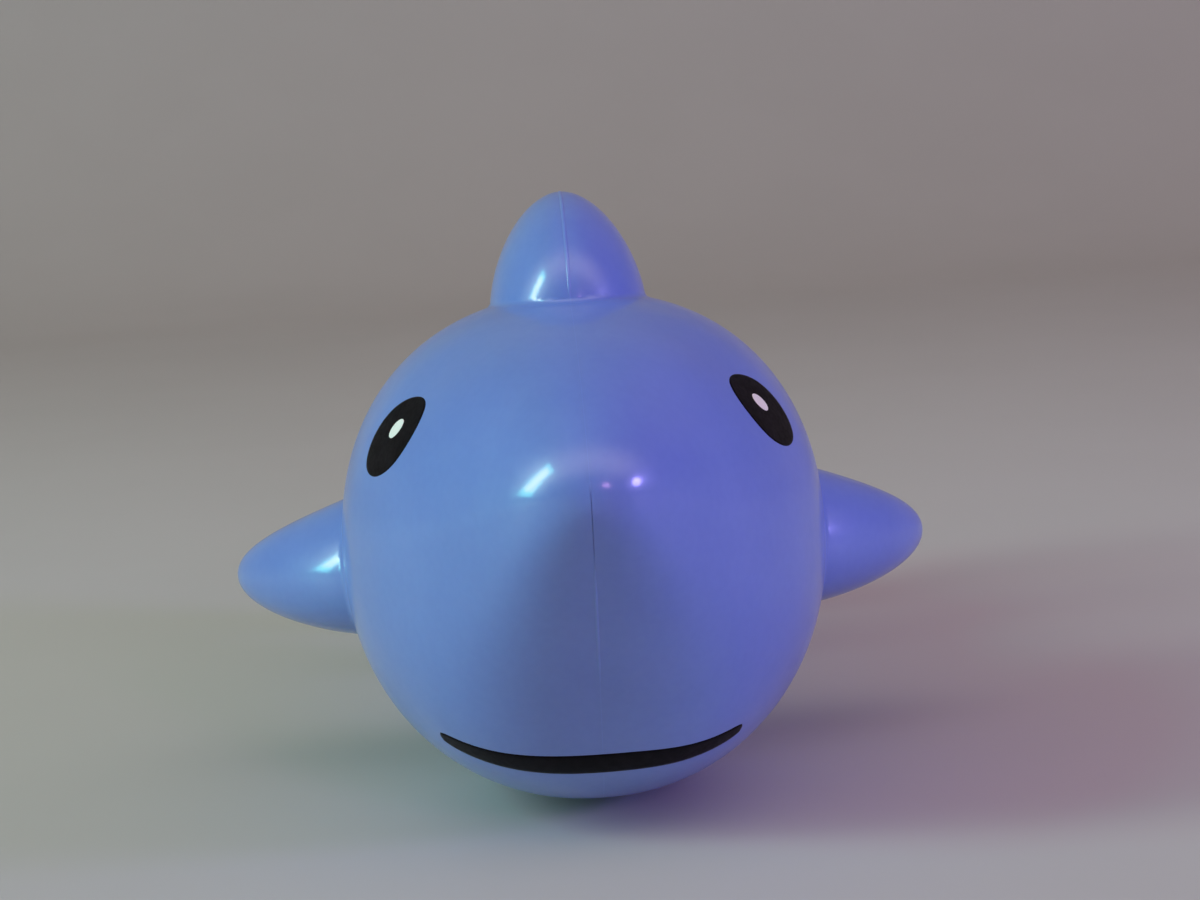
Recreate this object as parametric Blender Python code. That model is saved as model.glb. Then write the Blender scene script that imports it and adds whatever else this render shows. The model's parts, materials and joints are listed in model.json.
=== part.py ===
"""Pop-tube toy: a shark whose head and tail are joined by a corrugated tube.

Frame: +Z up from the table the toy rests on, the nose points along -Y, the
tail along +Y, and X = 0 is the mid-plane where the shell halves meet.  The
origin lies under the middle of the toy's box.  All dimensions are millimetres
and are scaled to metres when a mesh is made.
"""
import math

import bmesh
import bpy

for old in list(bpy.data.objects):
    bpy.data.objects.remove(old, do_unlink=True)

MM = 0.001

# ---------------------------------------------------------------- dimensions
Y_SHIFT = -29.5        # from the head's own Y to the toy's Y
SPLIT_GAP = 0.30       # between the two halves of a shell
HALF = SPLIT_GAP / 2
WALL = 2.0             # moulded shell wall
TABLE = -1.7           # the table, below the zero that heights are counted from
AXIS_Z = 31.5          # height of the tube's axis

# head, from the nose tip to the flat rear face:
# y, half width, top, bottom, fullness of the lower and of the upper half
HEAD = (
    (-43.0, 0.0, 45.8, 45.8, 2.0, 2.0),
    (-42.2, 3.8, 48.9, 42.7, 2.6, 2.0),
    (-39.5, 7.6, 52.2, 37.6, 2.9, 2.0),
    (-35.0, 12.0, 55.3, 29.5, 2.8, 2.0),
    (-29.0, 17.1, 58.3, 19.2, 2.7, 2.0),
    (-22.0, 22.2, 60.9, 9.1, 2.4, 2.1),
    (-14.0, 26.9, 62.9, 3.2, 2.18, 2.1),
    (-5.0, 30.3, 64.2, 0.25, 2.12, 2.2),
    (5.0, 31.4, 64.5, -1.1, 2.15, 2.25),
    (14.0, 30.1, 63.0, -2.9, 2.12, 2.2),
    (20.5, 27.7, 59.9, 1.6, 2.05, 2.1),
    (24.6, 25.4, 56.9, 6.1, 2.0, 2.0),
    (26.0, 24.4, 55.9, 7.1, 2.0, 2.0),
)
HEAD_FACE = 26.0       # rear face of the head

# tail, from its hind end to its flat front face
TAIL = (
    (96.0, 0.0, 34.5, 34.5, 2.0, 2.0),
    (95.0, 3.8, 38.8, 30.2, 2.0, 2.0),
    (91.6, 7.0, 42.4, 26.4, 2.0, 2.0),
    (85.5, 10.8, 46.4, 21.8, 2.0, 2.0),
    (78.5, 16.0, 51.0, 16.0, 2.0, 2.0),
    (71.5, 21.4, 54.9, 10.2, 2.0, 2.0),
    (65.5, 24.8, 56.9, 6.8, 2.0, 2.0),
    (61.6, 25.4, 57.0, 6.1, 2.0, 2.0),
    (60.0, 24.4, 55.9, 7.1, 2.0, 2.0),
)
TAIL_FACE = 60.0       # front face of the tail

# neck of each shell: a wall, a groove that traps the cuff's flange, a rib
NECK_HOLE_R = 19.4
GROOVE_R = 22.6
NECK_WALL = 2.0
GROOVE_WIDTH = 2.6
RIB_WIDTH = 2.0

# corrugated tube
PITCHES = 8            # convolutions
PITCH = 4.0            # crest to crest, collapsed
CREST_0 = 25.0         # first crest line, inside the head's neck
CONE_LENGTH = 7.0
CONE_R_LARGE = 18.8
CONE_R_SMALL = 15.0
CONE_START = 0.3
TUBE_WALL = 0.6
BEAD_R = 20.6
BEAD_BORE_R = 19.1
BEAD_WIDTH = 1.5
FLANGE_R = 22.0
FLANGE_WIDTH = 2.0
SLEEVE_BORE_R = 18.2
SIDES = 32             # facets around a turned piece and a shell's outside
INNER_SIDES = 24       # facets around a shell's inside
FIN_SIDES = 16         # facets around a fin

# dorsal fin
DORSAL_ROOT_Z = 62.5
DORSAL_TIP_Z = 77.0
DORSAL_Y = 9.25
DORSAL_SWEEP = 5.25
DORSAL_HALF_CHORD = 14.75
DORSAL_HALF_THICK = 10.2

# pectoral fins
PECTORAL_ROOT_X = 29.0
PECTORAL_TIP_X = 47.9
PECTORAL_Y = 13.2
PECTORAL_RAKE = 3.0
PECTORAL_SWEEP = 8.0
PECTORAL_Z = 29.2
PECTORAL_DROOP = 2.8
PECTORAL_HALF_CHORD = 11.6
PECTORAL_HALF_THICK = 9.6

# tail fin: an upper lobe and a lower lobe that ends in a flat foot
LOBE_Y = 88.4
UPPER_ROOT_Z = 38.0
UPPER_TIP_Z = 68.0
UPPER_SWEEP = 10.2
UPPER_HALF_CHORD = 9.5
UPPER_HALF_THICK = 10.2
LOWER_ROOT_Z = 32.0
LOWER_TIP_Z = -4.7
LOWER_SWEEP = 6.0
LOWER_HALF_CHORD = 9.0
LOWER_HALF_THICK = 8.8
FIN_WALL = 2.0

# locating pins between the halves: y, z
HEAD_PINS = ((-30.0, 44.0), (-10.0, 8.5), (-6.0, 53.0))
TAIL_PINS = ((80.0, 41.0), (73.0, 22.0))
BOSS_R = 3.2
PIN_R = 1.3
PIN_LENGTH = 3.0
SOCKET_R = 1.7
SOCKET_DEPTH = 4.2

BLUE = (0.115, 0.235, 0.560, 1.0)
TUBE_BLUE = (0.120, 0.270, 0.620, 1.0)


# ------------------------------------------------------------------- shaping
def spline(stations, u):
    """A smooth body's section at u, counted in stations from its closed end."""
    k = min(int(u), len(stations) - 2)
    t = u - k
    b, c = stations[k], stations[k + 1]
    if k:
        a = stations[k - 1]
    else:  # the same section mirrored about the tip, so that the tip is round
        y, w, top, low, below, above = stations[1]
        a = (y, -w, low, top, below, above)
    d = stations[k + 2] if k + 2 < len(stations) else tuple(
        2 * q - p for p, q in zip(b, c))
    return tuple(
        0.5 * (2 * q + (r - p) * t + (2 * p - 5 * q + 4 * r - s) * t * t
               + (3 * q - p - 3 * r + s) * t ** 3)
        for p, q, r, s in zip(a, b, c, d))


def section_ring(section, sides, inset=0.0):
    """A body's whole outline at one section, starting at its top."""
    y, w, top, low, below, above = section
    mid = (top + low) / 2
    w, top, low = w - inset, top - inset, low + inset
    ring = []
    for k in range(sides):
        t = math.pi / 2 - 2 * math.pi * k / sides
        c, s = math.cos(t), math.sin(t)
        e = 2.0 / (below if s < -1e-9 else above)
        x = w * math.copysign(abs(c) ** e, c) if abs(c) > 1e-9 else 0.0
        z = mid + (top - mid if s > 0 else mid - low) * math.copysign(abs(s) ** e, s)
        ring.append((x, y, max(z, TABLE + inset) if inset else z))
    return ring


def circle_ring(y, r, sides):
    """A round neck's whole outline."""
    return [(r * math.sin(2 * math.pi * k / sides), y,
             AXIS_Z + r * math.cos(2 * math.pi * k / sides)) for k in range(sides)]


def station_at(stations, y):
    """The place along a body, in stations, where it reaches y."""
    lo, hi = 0.0, float(len(stations) - 1)
    rising = stations[-1][0] > stations[0][0]
    for _ in range(60):
        m = (lo + hi) / 2
        if (spline(stations, m)[0] < y) == rising:
            lo = m
        else:
            hi = m
    return (lo + hi) / 2


def half_width_at(stations, y, z):
    """Outer half width of a body at y and z."""
    _, w, top, low, below, above = spline(stations, station_at(stations, y))
    mid = (top + low) / 2
    e = below if z < mid else above
    f = abs(z - mid) / ((top - mid) if z >= mid else (mid - low))
    return w * max(1.0 - f ** e, 0.0) ** (1.0 / e)


def finish(bm):
    bmesh.ops.triangulate(bm, faces=bm.faces[:], ngon_method='EAR_CLIP')
    bmesh.ops.recalc_face_normals(bm, faces=bm.faces[:])


def loft(rows, side=1):
    """A closed solid through whole outlines; an end row may be one point."""
    bm = bmesh.new()
    r = [[bm.verts.new((side * x * MM, (y + Y_SHIFT) * MM, (z - TABLE) * MM))
          for x, y, z in row] for row in rows]
    for a, b in zip(r, r[1:]):
        n = max(len(a), len(b))
        for k in range(n):
            m = (k + 1) % n
            if len(a) == 1:
                bm.faces.new((a[0], b[k], b[m]))
            elif len(b) == 1:
                bm.faces.new((a[k], b[0], a[m]))
            else:
                bm.faces.new((a[k], b[k], b[m], a[m]))
    for end in (r[0], r[-1]):
        if len(end) > 1:
            bm.faces.new(end)
    finish(bm)
    return bm


def half_space(side):
    """A large block that holds one half of the toy."""
    bm = bmesh.new()
    bmesh.ops.create_cube(bm, size=1.0)
    for v in bm.verts:
        v.co.x = side * (HALF if v.co.x * side < 0 else 80.0) * MM
        v.co.y *= 400.0 * MM
        v.co.z *= 400.0 * MM
    finish(bm)
    return bm


def under_table():
    """A large block that fills the room below the table top."""
    bm = bmesh.new()
    bmesh.ops.create_cube(bm, size=1.0)
    for v in bm.verts:
        v.co.x *= 300.0 * MM
        v.co.y *= 400.0 * MM
        v.co.z = 0.0 if v.co.z > 0 else -60.0 * MM
    finish(bm)
    return bm


def turned(profile, centre_y):
    """A closed profile of (y, r) turned about the tube's axis."""
    bm = bmesh.new()
    loops = []
    for y, r in profile:
        loops.append([bm.verts.new((
            r * math.cos(2 * math.pi * k / SIDES) * MM,
            (y - centre_y) * MM,
            r * math.sin(2 * math.pi * k / SIDES) * MM)) for k in range(SIDES)])
    for a, b in zip(loops, loops[1:] + loops[:1]):
        for k in range(SIDES):
            n = (k + 1) % SIDES
            bm.faces.new((a[k], a[n], b[n], b[k]))
    finish(bm)
    return bm


def rod(y, z, r, x0, x1, sides=12):
    """A round rod along X between x0 and x1."""
    bm = bmesh.new()
    ends = []
    for x in (x0, x1):
        ends.append([bm.verts.new((
            x * MM, (y + r * math.cos(2 * math.pi * k / sides) + Y_SHIFT) * MM,
            (z - TABLE + r * math.sin(2 * math.pi * k / sides)) * MM)) for k in range(sides)])
    for k in range(sides):
        n = (k + 1) % sides
        bm.faces.new((ends[0][k], ends[0][n], ends[1][n], ends[1][k]))
    bm.faces.new(ends[0])
    bm.faces.new(ends[1])
    finish(bm)
    return bm


# ------------------------------------------------------------------- objects
def material(name, colour, roughness):
    mat = bpy.data.materials.new(name)
    mat.use_nodes = True
    shader = mat.node_tree.nodes["Principled BSDF"]
    shader.inputs["Base Color"].default_value = colour
    shader.inputs["Roughness"].default_value = roughness
    shader.inputs["Metallic"].default_value = 0.0
    return mat


def make(name, bm, colour=BLUE, roughness=0.32, location=(0.0, 0.0, 0.0)):
    mesh = bpy.data.meshes.new(name)
    bm.to_mesh(mesh)
    bm.free()
    obj = bpy.data.objects.new(name, mesh)
    obj.location = location
    bpy.context.scene.collection.objects.link(obj)
    mesh.materials.append(material(name + "_plastic", colour, roughness))
    return obj


def combine(obj, bm, operation):
    """Union with, or cut by, a second solid."""
    mesh = bpy.data.meshes.new("tool")
    bm.to_mesh(mesh)
    bm.free()
    tool = bpy.data.objects.new("tool", mesh)
    bpy.context.scene.collection.objects.link(tool)
    mod = obj.modifiers.new(operation, 'BOOLEAN')
    mod.operation = operation
    mod.solver = 'EXACT'
    mod.object = tool
    bpy.context.view_layer.update()
    result = bpy.data.meshes.new_from_object(
        obj.evaluated_get(bpy.context.evaluated_depsgraph_get()))
    obj.modifiers.clear()
    obj.data = result
    bpy.data.objects.remove(tool, do_unlink=True)


def smooth(obj):
    obj.data.shade_smooth()
    obj.data.set_sharp_from_angle(angle=math.radians(35))


# ---------------------------------------------------------------------- fins

def taper(t, power, close):
    return max(1.0 - max(t, 0.0) ** power, 0.0) ** close


def upright_rows(heights, size, inset=0.0):
    """Outlines of an upright fin at a list of heights."""
    rows = []
    for z in heights:
        y, chord, thick = size(z)
        chord, thick = chord - inset, thick - inset
        if chord <= 0.4 or thick <= 0.4:
            rows.append([(0.0, y, z)])
            break
        rows.append([(thick * math.cos(2 * math.pi * k / FIN_SIDES),
                      y + chord * math.sin(2 * math.pi * k / FIN_SIDES), z)
                     for k in range(FIN_SIDES)])
    return rows


def dorsal(z):
    t = (z - DORSAL_ROOT_Z) / (DORSAL_TIP_Z - DORSAL_ROOT_Z)
    return (DORSAL_Y + DORSAL_SWEEP * max(t, 0.0) ** 1.3,
            DORSAL_HALF_CHORD * taper(t, 3.0, 0.54),
            DORSAL_HALF_THICK * taper(t, 1.62, 0.54))


def upper_lobe(z):
    t = (z - UPPER_ROOT_Z) / (UPPER_TIP_Z - UPPER_ROOT_Z)
    return (LOBE_Y + UPPER_SWEEP * max(t, 0.0) ** 1.1,
            UPPER_HALF_CHORD * taper(t, 2.1, 0.53),
            UPPER_HALF_THICK * taper(t, 2.1, 0.53))


def lower_lobe(z):
    t = (z - LOWER_ROOT_Z) / (LOWER_TIP_Z - LOWER_ROOT_Z)
    return (LOBE_Y + LOWER_SWEEP * max(t, 0.0),
            LOWER_HALF_CHORD * taper(t, 1.8, 0.55),
            LOWER_HALF_THICK * taper(t, 1.8, 0.55))


def levels(z0, z1, count, bunch=1.0):
    """Heights from z0 to z1, closer together near z1 when bunch is over 1."""
    return [z0 + (z1 - z0) * (1.0 - (1.0 - k / count) ** bunch)
            for k in range(count + 1)]


def pectoral_rows(x0, x1, count, inset=0.0):
    rows = []
    for x in levels(x0, x1, count, 1.7):
        t = (x - PECTORAL_ROOT_X) / (PECTORAL_TIP_X - PECTORAL_ROOT_X)
        y = PECTORAL_Y + PECTORAL_RAKE * max(t, 0.0) + PECTORAL_SWEEP * max(t, 0.0) ** 1.7
        z = PECTORAL_Z - PECTORAL_DROOP * max(t, 0.0)
        chord = PECTORAL_HALF_CHORD * taper(t, 1.05, 0.48) - inset
        thick = PECTORAL_HALF_THICK * taper(t, 1.05, 0.48) - inset
        if chord <= 0.4 or thick <= 0.4:
            rows.append([(x, y, z)])
            break
        rows.append([(x, y + chord * math.cos(2 * math.pi * k / FIN_SIDES),
                      z + thick * math.sin(2 * math.pi * k / FIN_SIDES))
                     for k in range(FIN_SIDES)])
    return rows


# -------------------------------------------------------------------- shells
def outer_rows(stations, count):
    last = len(stations) - 1
    rows = [[(0.0, stations[0][0], stations[0][2])]]
    for k in range(1, count + 1):
        rows.append(section_ring(spline(stations, last * k / count), SIDES))
    return rows


def inner_rows(stations, count, face, into):
    """The hollow, from near the closed end out through the neck."""
    rib = face + into * (NECK_WALL + GROOVE_WIDTH + RIB_WIDTH)
    groove = face + into * (NECK_WALL + GROOVE_WIDTH)
    wall = face + into * NECK_WALL
    u0 = station_at(stations, stations[0][0] - into * 2.6)
    u1 = station_at(stations, rib)
    first = spline(stations, u0)
    rows = [[(0.0, first[0], (first[2] + first[3]) / 2)]]
    for k in range(1, count + 1):
        s = spline(stations, u0 + (u1 - u0) * k / count)
        if s[1] > WALL + 0.8:
            rows.append(section_ring(s, INNER_SIDES, WALL))
    neck = ((rib, NECK_HOLE_R), (groove, NECK_HOLE_R), (groove, GROOVE_R),
            (wall, GROOVE_R), (wall, NECK_HOLE_R), (face - into * 1.0, NECK_HOLE_R))
    return rows + [circle_ring(y, r, INNER_SIDES) for y, r in neck]


def split(body, stations, pins, name, side):
    """One half of a shell, with its bosses and its pins or sockets."""
    obj = make(name, bmesh.new())
    obj.data = body.data.copy()
    obj.data.materials.clear()
    obj.data.materials.append(material(name + "_plastic", BLUE, 0.32))
    combine(obj, half_space(side), 'INTERSECT')
    for y, z in pins:
        reach = min(half_width_at(stations, y + i * BOSS_R, z + j * BOSS_R)
                    for i in (-1, 0, 1) for j in (-1, 0, 1)) - 0.6
        combine(obj, rod(y, z, BOSS_R, side * (HALF + 0.1), side * reach), 'UNION')
        if side > 0:
            combine(obj, rod(y, z, PIN_R, HALF + 1.0, -PIN_LENGTH, 8), 'UNION')
        else:
            combine(obj, rod(y, z, SOCKET_R, 1.0, -SOCKET_DEPTH, 8), 'DIFFERENCE')
    smooth(obj)
    return obj


def head_shells():
    body = make("head_body", loft(outer_rows(HEAD, 22)))
    combine(body, under_table(), 'DIFFERENCE')
    combine(body, loft(upright_rows(levels(54.0, DORSAL_TIP_Z, 9, 1.6), dorsal)), 'UNION')
    for side in (1, -1):
        combine(body, loft(pectoral_rows(24.5, PECTORAL_TIP_X, 9), side), 'UNION')
    combine(body, loft(inner_rows(HEAD, 11, HEAD_FACE, -1)), 'DIFFERENCE')
    combine(body, loft(upright_rows(levels(52.0, DORSAL_TIP_Z - FIN_WALL, 6, 1.4),
                                    dorsal, FIN_WALL)), 'DIFFERENCE')
    for side in (1, -1):
        combine(body, loft(pectoral_rows(21.5, PECTORAL_TIP_X - FIN_WALL, 6, FIN_WALL),
                           side), 'DIFFERENCE')
    split(body, HEAD, HEAD_PINS, "head_shell_left", 1)
    split(body, HEAD, HEAD_PINS, "head_shell_right", -1)
    bpy.data.objects.remove(body, do_unlink=True)


def tail_shells():
    body = make("tail_body", loft(outer_rows(TAIL, 15)))
    combine(body, loft(upright_rows(levels(33.0, UPPER_TIP_Z, 9, 1.6), upper_lobe)), 'UNION')
    combine(body, loft(upright_rows(levels(35.0, TABLE, 7, 1.2), lower_lobe)), 'UNION')
    combine(body, loft(inner_rows(TAIL, 8, TAIL_FACE, 1)), 'DIFFERENCE')
    combine(body, loft(upright_rows(levels(35.2, UPPER_TIP_Z - 3.0, 7, 1.4),
                                    upper_lobe, FIN_WALL)), 'DIFFERENCE')
    combine(body, loft(upright_rows(levels(36.6, TABLE + 4.0, 6, 1.2),
                                    lower_lobe, FIN_WALL)), 'DIFFERENCE')
    split(body, TAIL, TAIL_PINS, "tail_shell_left", 1)
    split(body, TAIL, TAIL_PINS, "tail_shell_right", -1)
    bpy.data.objects.remove(body, do_unlink=True)


head_shells()
tail_shells()


# ---------------------------------------------------------------------- tube
def tube_piece(name, profile, centre_y):
    obj = make(name, turned(profile, centre_y), TUBE_BLUE, 0.38,
               (0.0, (centre_y + Y_SHIFT) * MM, (AXIS_Z - TABLE) * MM))
    smooth(obj)
    return obj


SLOPE = math.atan2(CONE_R_LARGE - CONE_R_SMALL, CONE_LENGTH - CONE_START)
IN_Y, IN_R = TUBE_WALL * math.sin(SLOPE), TUBE_WALL * math.cos(SLOPE)


def cone(crest):
    """A cone that narrows away from its crest, with a rounded small end."""
    return [
        (crest + CONE_START, CONE_R_LARGE),
        (crest + CONE_LENGTH, CONE_R_SMALL),
        (crest + CONE_LENGTH + 0.2, CONE_R_SMALL - 0.35),
        (crest + CONE_LENGTH - IN_Y, CONE_R_SMALL - IN_R),
        (crest + CONE_START - IN_Y, CONE_R_LARGE - IN_R),
    ]


def bead(crest):
    """The rounded fold at a crest."""
    w = BEAD_WIDTH / 2
    return [(crest - w, BEAD_BORE_R), (crest - w, BEAD_R - 0.5),
            (crest - 0.3, BEAD_R), (crest + 0.3, BEAD_R),
            (crest + w, BEAD_R - 0.5), (crest + w, BEAD_BORE_R)]


flange = HEAD_FACE - NECK_WALL - 0.3
tube_piece("tube_front_cuff", [
    (flange - FLANGE_WIDTH, SLEEVE_BORE_R), (flange - FLANGE_WIDTH, FLANGE_R),
    (flange, FLANGE_R), (flange, CONE_R_LARGE)] + cone(CREST_0), CREST_0)

for n in range(1, PITCHES + 1):
    crest = CREST_0 + PITCH * n
    tube_piece("tube_crest_%02d" % n, bead(crest), crest)
    if n < PITCHES:
        tube_piece("tube_cone_%02d" % n, cone(crest), crest)

crest = CREST_0 + PITCH * PITCHES
flange = TAIL_FACE + NECK_WALL + 0.3
tube_piece("tube_rear_cuff", [
    (crest + CONE_START, SLEEVE_BORE_R), (crest + CONE_START, CONE_R_LARGE),
    (flange, CONE_R_LARGE), (flange, FLANGE_R),
    (flange + FLANGE_WIDTH, FLANGE_R), (flange + FLANGE_WIDTH, SLEEVE_BORE_R)], crest)
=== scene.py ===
"""Looks of the pop-tube shark: fine shells, printed face, corrugated tube."""
import json
import math

import bmesh
import bpy
import numpy as np
from mathutils import Matrix, Vector

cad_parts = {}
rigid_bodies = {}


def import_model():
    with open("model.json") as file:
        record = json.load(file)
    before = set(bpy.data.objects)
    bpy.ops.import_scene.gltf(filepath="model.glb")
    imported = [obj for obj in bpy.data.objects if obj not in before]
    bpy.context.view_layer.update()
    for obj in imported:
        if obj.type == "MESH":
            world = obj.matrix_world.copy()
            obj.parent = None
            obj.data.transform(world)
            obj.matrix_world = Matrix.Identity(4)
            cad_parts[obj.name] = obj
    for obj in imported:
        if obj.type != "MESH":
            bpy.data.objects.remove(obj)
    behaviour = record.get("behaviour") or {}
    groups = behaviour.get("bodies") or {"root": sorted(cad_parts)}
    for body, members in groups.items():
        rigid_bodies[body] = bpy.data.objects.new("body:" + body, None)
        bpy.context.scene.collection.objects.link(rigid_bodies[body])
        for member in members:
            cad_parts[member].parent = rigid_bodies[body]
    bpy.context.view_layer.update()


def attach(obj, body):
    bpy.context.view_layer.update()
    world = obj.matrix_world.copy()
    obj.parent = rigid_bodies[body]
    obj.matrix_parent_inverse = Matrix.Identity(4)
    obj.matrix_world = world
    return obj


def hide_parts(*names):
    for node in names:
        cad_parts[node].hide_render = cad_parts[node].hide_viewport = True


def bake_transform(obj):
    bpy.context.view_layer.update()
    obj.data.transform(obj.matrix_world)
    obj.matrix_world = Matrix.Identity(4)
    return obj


for old in list(bpy.data.objects):
    bpy.data.objects.remove(old, do_unlink=True)

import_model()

scene = bpy.context.scene
MM = 0.001
Y_SHIFT = -29.5
AXIS_Z = 31.5
TABLE = -1.7           # the table, below the zero that heights are counted from

# ---------------------------------------------------------------- the shapes
# All in millimetres, with the head's own Y, as in the CAD model.
# y, half width, top, bottom, fullness of the lower and of the upper half
HEAD = (
    (-43.0, 0.0, 45.8, 45.8, 2.0, 2.0),
    (-42.2, 3.8, 48.9, 42.7, 2.6, 2.0),
    (-39.5, 7.6, 52.2, 37.6, 2.9, 2.0),
    (-35.0, 12.0, 55.3, 29.5, 2.8, 2.0),
    (-29.0, 17.1, 58.3, 19.2, 2.7, 2.0),
    (-22.0, 22.2, 60.9, 9.1, 2.4, 2.1),
    (-14.0, 26.9, 62.9, 3.2, 2.18, 2.1),
    (-5.0, 30.3, 64.2, 0.25, 2.12, 2.2),
    (5.0, 31.4, 64.5, -1.1, 2.15, 2.25),
    (14.0, 30.1, 63.0, -2.9, 2.12, 2.2),
    (20.5, 27.7, 59.9, 1.6, 2.05, 2.1),
    (24.6, 25.4, 56.9, 6.1, 2.0, 2.0),
    (26.0, 24.4, 55.9, 7.1, 2.0, 2.0),
)
TAIL = (
    (96.0, 0.0, 34.5, 34.5, 2.0, 2.0),
    (95.0, 3.8, 38.8, 30.2, 2.0, 2.0),
    (91.6, 7.0, 42.4, 26.4, 2.0, 2.0),
    (85.5, 10.8, 46.4, 21.8, 2.0, 2.0),
    (78.5, 16.0, 51.0, 16.0, 2.0, 2.0),
    (71.5, 21.4, 54.9, 10.2, 2.0, 2.0),
    (65.5, 24.8, 56.9, 6.8, 2.0, 2.0),
    (61.6, 25.4, 57.0, 6.1, 2.0, 2.0),
    (60.0, 24.4, 55.9, 7.1, 2.0, 2.0),
)
HEAD_FACE = 26.0
TAIL_FACE = 60.0
WALL = 2.0
NECK_HOLE_R = 19.4
GROOVE_R = 22.6
HALF_GAP = 0.05        # shown between the two halves of a shell

CRESTS = 8
PITCH = 4.0
CREST_0 = 25.0


def table(stations, count=6000):
    """A smooth body's sections against y, from its stations."""
    s = np.array(stations, float)
    tip = s[1].copy()
    tip[1], tip[2], tip[3] = -s[1][1], s[1][3], s[1][2]
    s = np.vstack([tip, s, 2 * s[-1] - s[-2]])
    last = len(s) - 3
    u = np.linspace(0.0, last, count)
    k = np.minimum(u.astype(int), last - 1)
    t = (u - k)[:, None]
    a, b, c, d = s[k], s[k + 1], s[k + 2], s[k + 3]
    v = 0.5 * (2 * b + (c - a) * t + (2 * a - 5 * b + 4 * c - d) * t * t
               + (3 * b - a - 3 * c + d) * t ** 3)
    w, mid, h = v[:, 1], (v[:, 2] + v[:, 3]) / 2, (v[:, 2] - v[:, 3]) / 2
    ratio = w / np.maximum(h, 1e-6)
    ratio[:3] = ratio[3]
    rows = np.stack([v[:, 0], w * w, mid, ratio, v[:, 4], v[:, 5]])
    tip_y = v[0, 0]
    slope = (w[20] ** 2) / (v[20, 0] - tip_y)
    if rows[0, 0] > rows[0, -1]:
        rows = rows[:, ::-1]
    return rows, tip_y, slope


HEAD_TABLE = table(HEAD)
TAIL_TABLE = table(TAIL)


def distance(g, x, y, z, e=0.01):
    """Distance to the surface g = 0, to first order."""
    v = g(x, y, z)
    gx = (g(x + e, y, z) - g(x - e, y, z)) / (2 * e)
    gy = (g(x, y + e, z) - g(x, y - e, z)) / (2 * e)
    gz = (g(x, y, z + e) - g(x, y, z - e)) / (2 * e)
    return np.clip(v / np.maximum(np.sqrt(gx * gx + gy * gy + gz * gz), 1e-3), -40, 40)


def body_of(tab):
    rows, tip_y, slope = tab
    ys = rows[0]

    def g(x, y, z):
        w2, mid, ratio, low, up = (np.interp(y, ys, rows[k]) for k in range(1, 6))
        beyond = np.minimum(y - tip_y, 0) if slope > 0 else np.maximum(y - tip_y, 0)
        w2 = w2 + slope * beyond
        n = np.where(z < mid, low, up)
        return (np.abs(x) ** n + np.abs((z - mid) * ratio) ** n) ** (2 / n) - w2
    return g


def taper2(t, power, close):
    """A fin's taper squared: 1 at the root, 0 at the tip, negative beyond."""
    s = 1.0 - np.maximum(t, 0.0) ** power
    return np.where(s > 0, np.abs(s) ** (2 * close), s)


def dorsal(x, y, z):
    t = (z - 62.5) / 14.5
    c2 = 14.75 ** 2 * taper2(t, 3.0, 0.54)
    s = np.maximum(1.0 - np.clip(t, 0, 1) ** 3.0, 2e-3) ** 1.08
    q = np.maximum(1.0 - np.clip(t, 0, 1) ** 1.62, 2e-3) ** 1.08
    ratio = (14.75 / 10.2) ** 2 * s / q
    return (y - 9.25 - 5.25 * np.maximum(t, 0) ** 1.3) ** 2 + x * x * ratio - c2


def pectoral(x, y, z):
    t = (np.abs(x) - 29.0) / 18.9
    c2 = 11.6 ** 2 * taper2(t, 1.05, 0.48)
    yc = 13.2 + 2.4 * np.maximum(t, 0) + 8.6 * np.maximum(t, 0) ** 1.78
    zc = 29.2 - 2.8 * np.maximum(t, 0)
    return (y - yc) ** 2 + ((z - zc) * 11.6 / 9.6) ** 2 - c2


def upper_lobe(x, y, z):
    t = (z - 38.0) / 30.0
    c2 = 9.5 ** 2 * taper2(t, 2.1, 0.53)
    return (y - 88.4 - 10.2 * np.maximum(t, 0) ** 1.1) ** 2 + (x * 9.5 / 10.2) ** 2 - c2


def lower_lobe(x, y, z):
    t = (32.0 - z) / 36.7
    c2 = 9.0 ** 2 * taper2(t, 1.8, 0.55)
    return (y - 88.4 - 6.0 * np.maximum(t, 0)) ** 2 + (x * 9.0 / 8.8) ** 2 - c2


def join(a, b, r):
    """Union with a fillet of radius r."""
    return np.maximum(r, np.minimum(a, b)) - np.hypot(np.maximum(r - a, 0), np.maximum(r - b, 0))


def meet(a, b, r):
    """Intersection with its edge rounded to radius r."""
    return np.minimum(-r, np.maximum(a, b)) + np.hypot(np.maximum(r + a, 0), np.maximum(r + b, 0))


HEAD_BODY, TAIL_BODY = body_of(HEAD_TABLE), body_of(TAIL_TABLE)


def head_solid(x, y, z):
    f = distance(HEAD_BODY, x, y, z)
    f = join(f, np.maximum(distance(dorsal, x, y, z), 54.0 - z), 0.6)
    return join(f, np.maximum(distance(pectoral, x, y, z), 24.5 - np.abs(x)), 0.6)


def tail_solid(x, y, z):
    f = distance(TAIL_BODY, x, y, z)
    f = join(f, np.maximum(distance(upper_lobe, x, y, z), 33.0 - z), 2.2)
    return join(f, np.maximum(distance(lower_lobe, x, y, z), z - 35.0), 2.2)


def head_outside(x, y, z):
    return meet(meet(head_solid(x, y, z), y - HEAD_FACE, 0.9), TABLE - z, 0.5)


def tail_outside(x, y, z):
    return meet(meet(tail_solid(x, y, z), TAIL_FACE - y, 0.9), TABLE - z, 0.5)


def hollow(solid, depth, x, y, z):
    """The room inside a shell and its neck; depth is counted in from the face."""
    r = np.hypot(x, z - AXIS_Z)
    room = np.maximum(np.maximum(solid, TABLE - z) + WALL, 6.6 - depth)
    neck = np.maximum(r - NECK_HOLE_R, depth - 7.2)
    groove = np.maximum(r - GROOVE_R, np.abs(depth - 3.3) - 1.3)
    return np.minimum(np.minimum(room, neck), groove)


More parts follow.
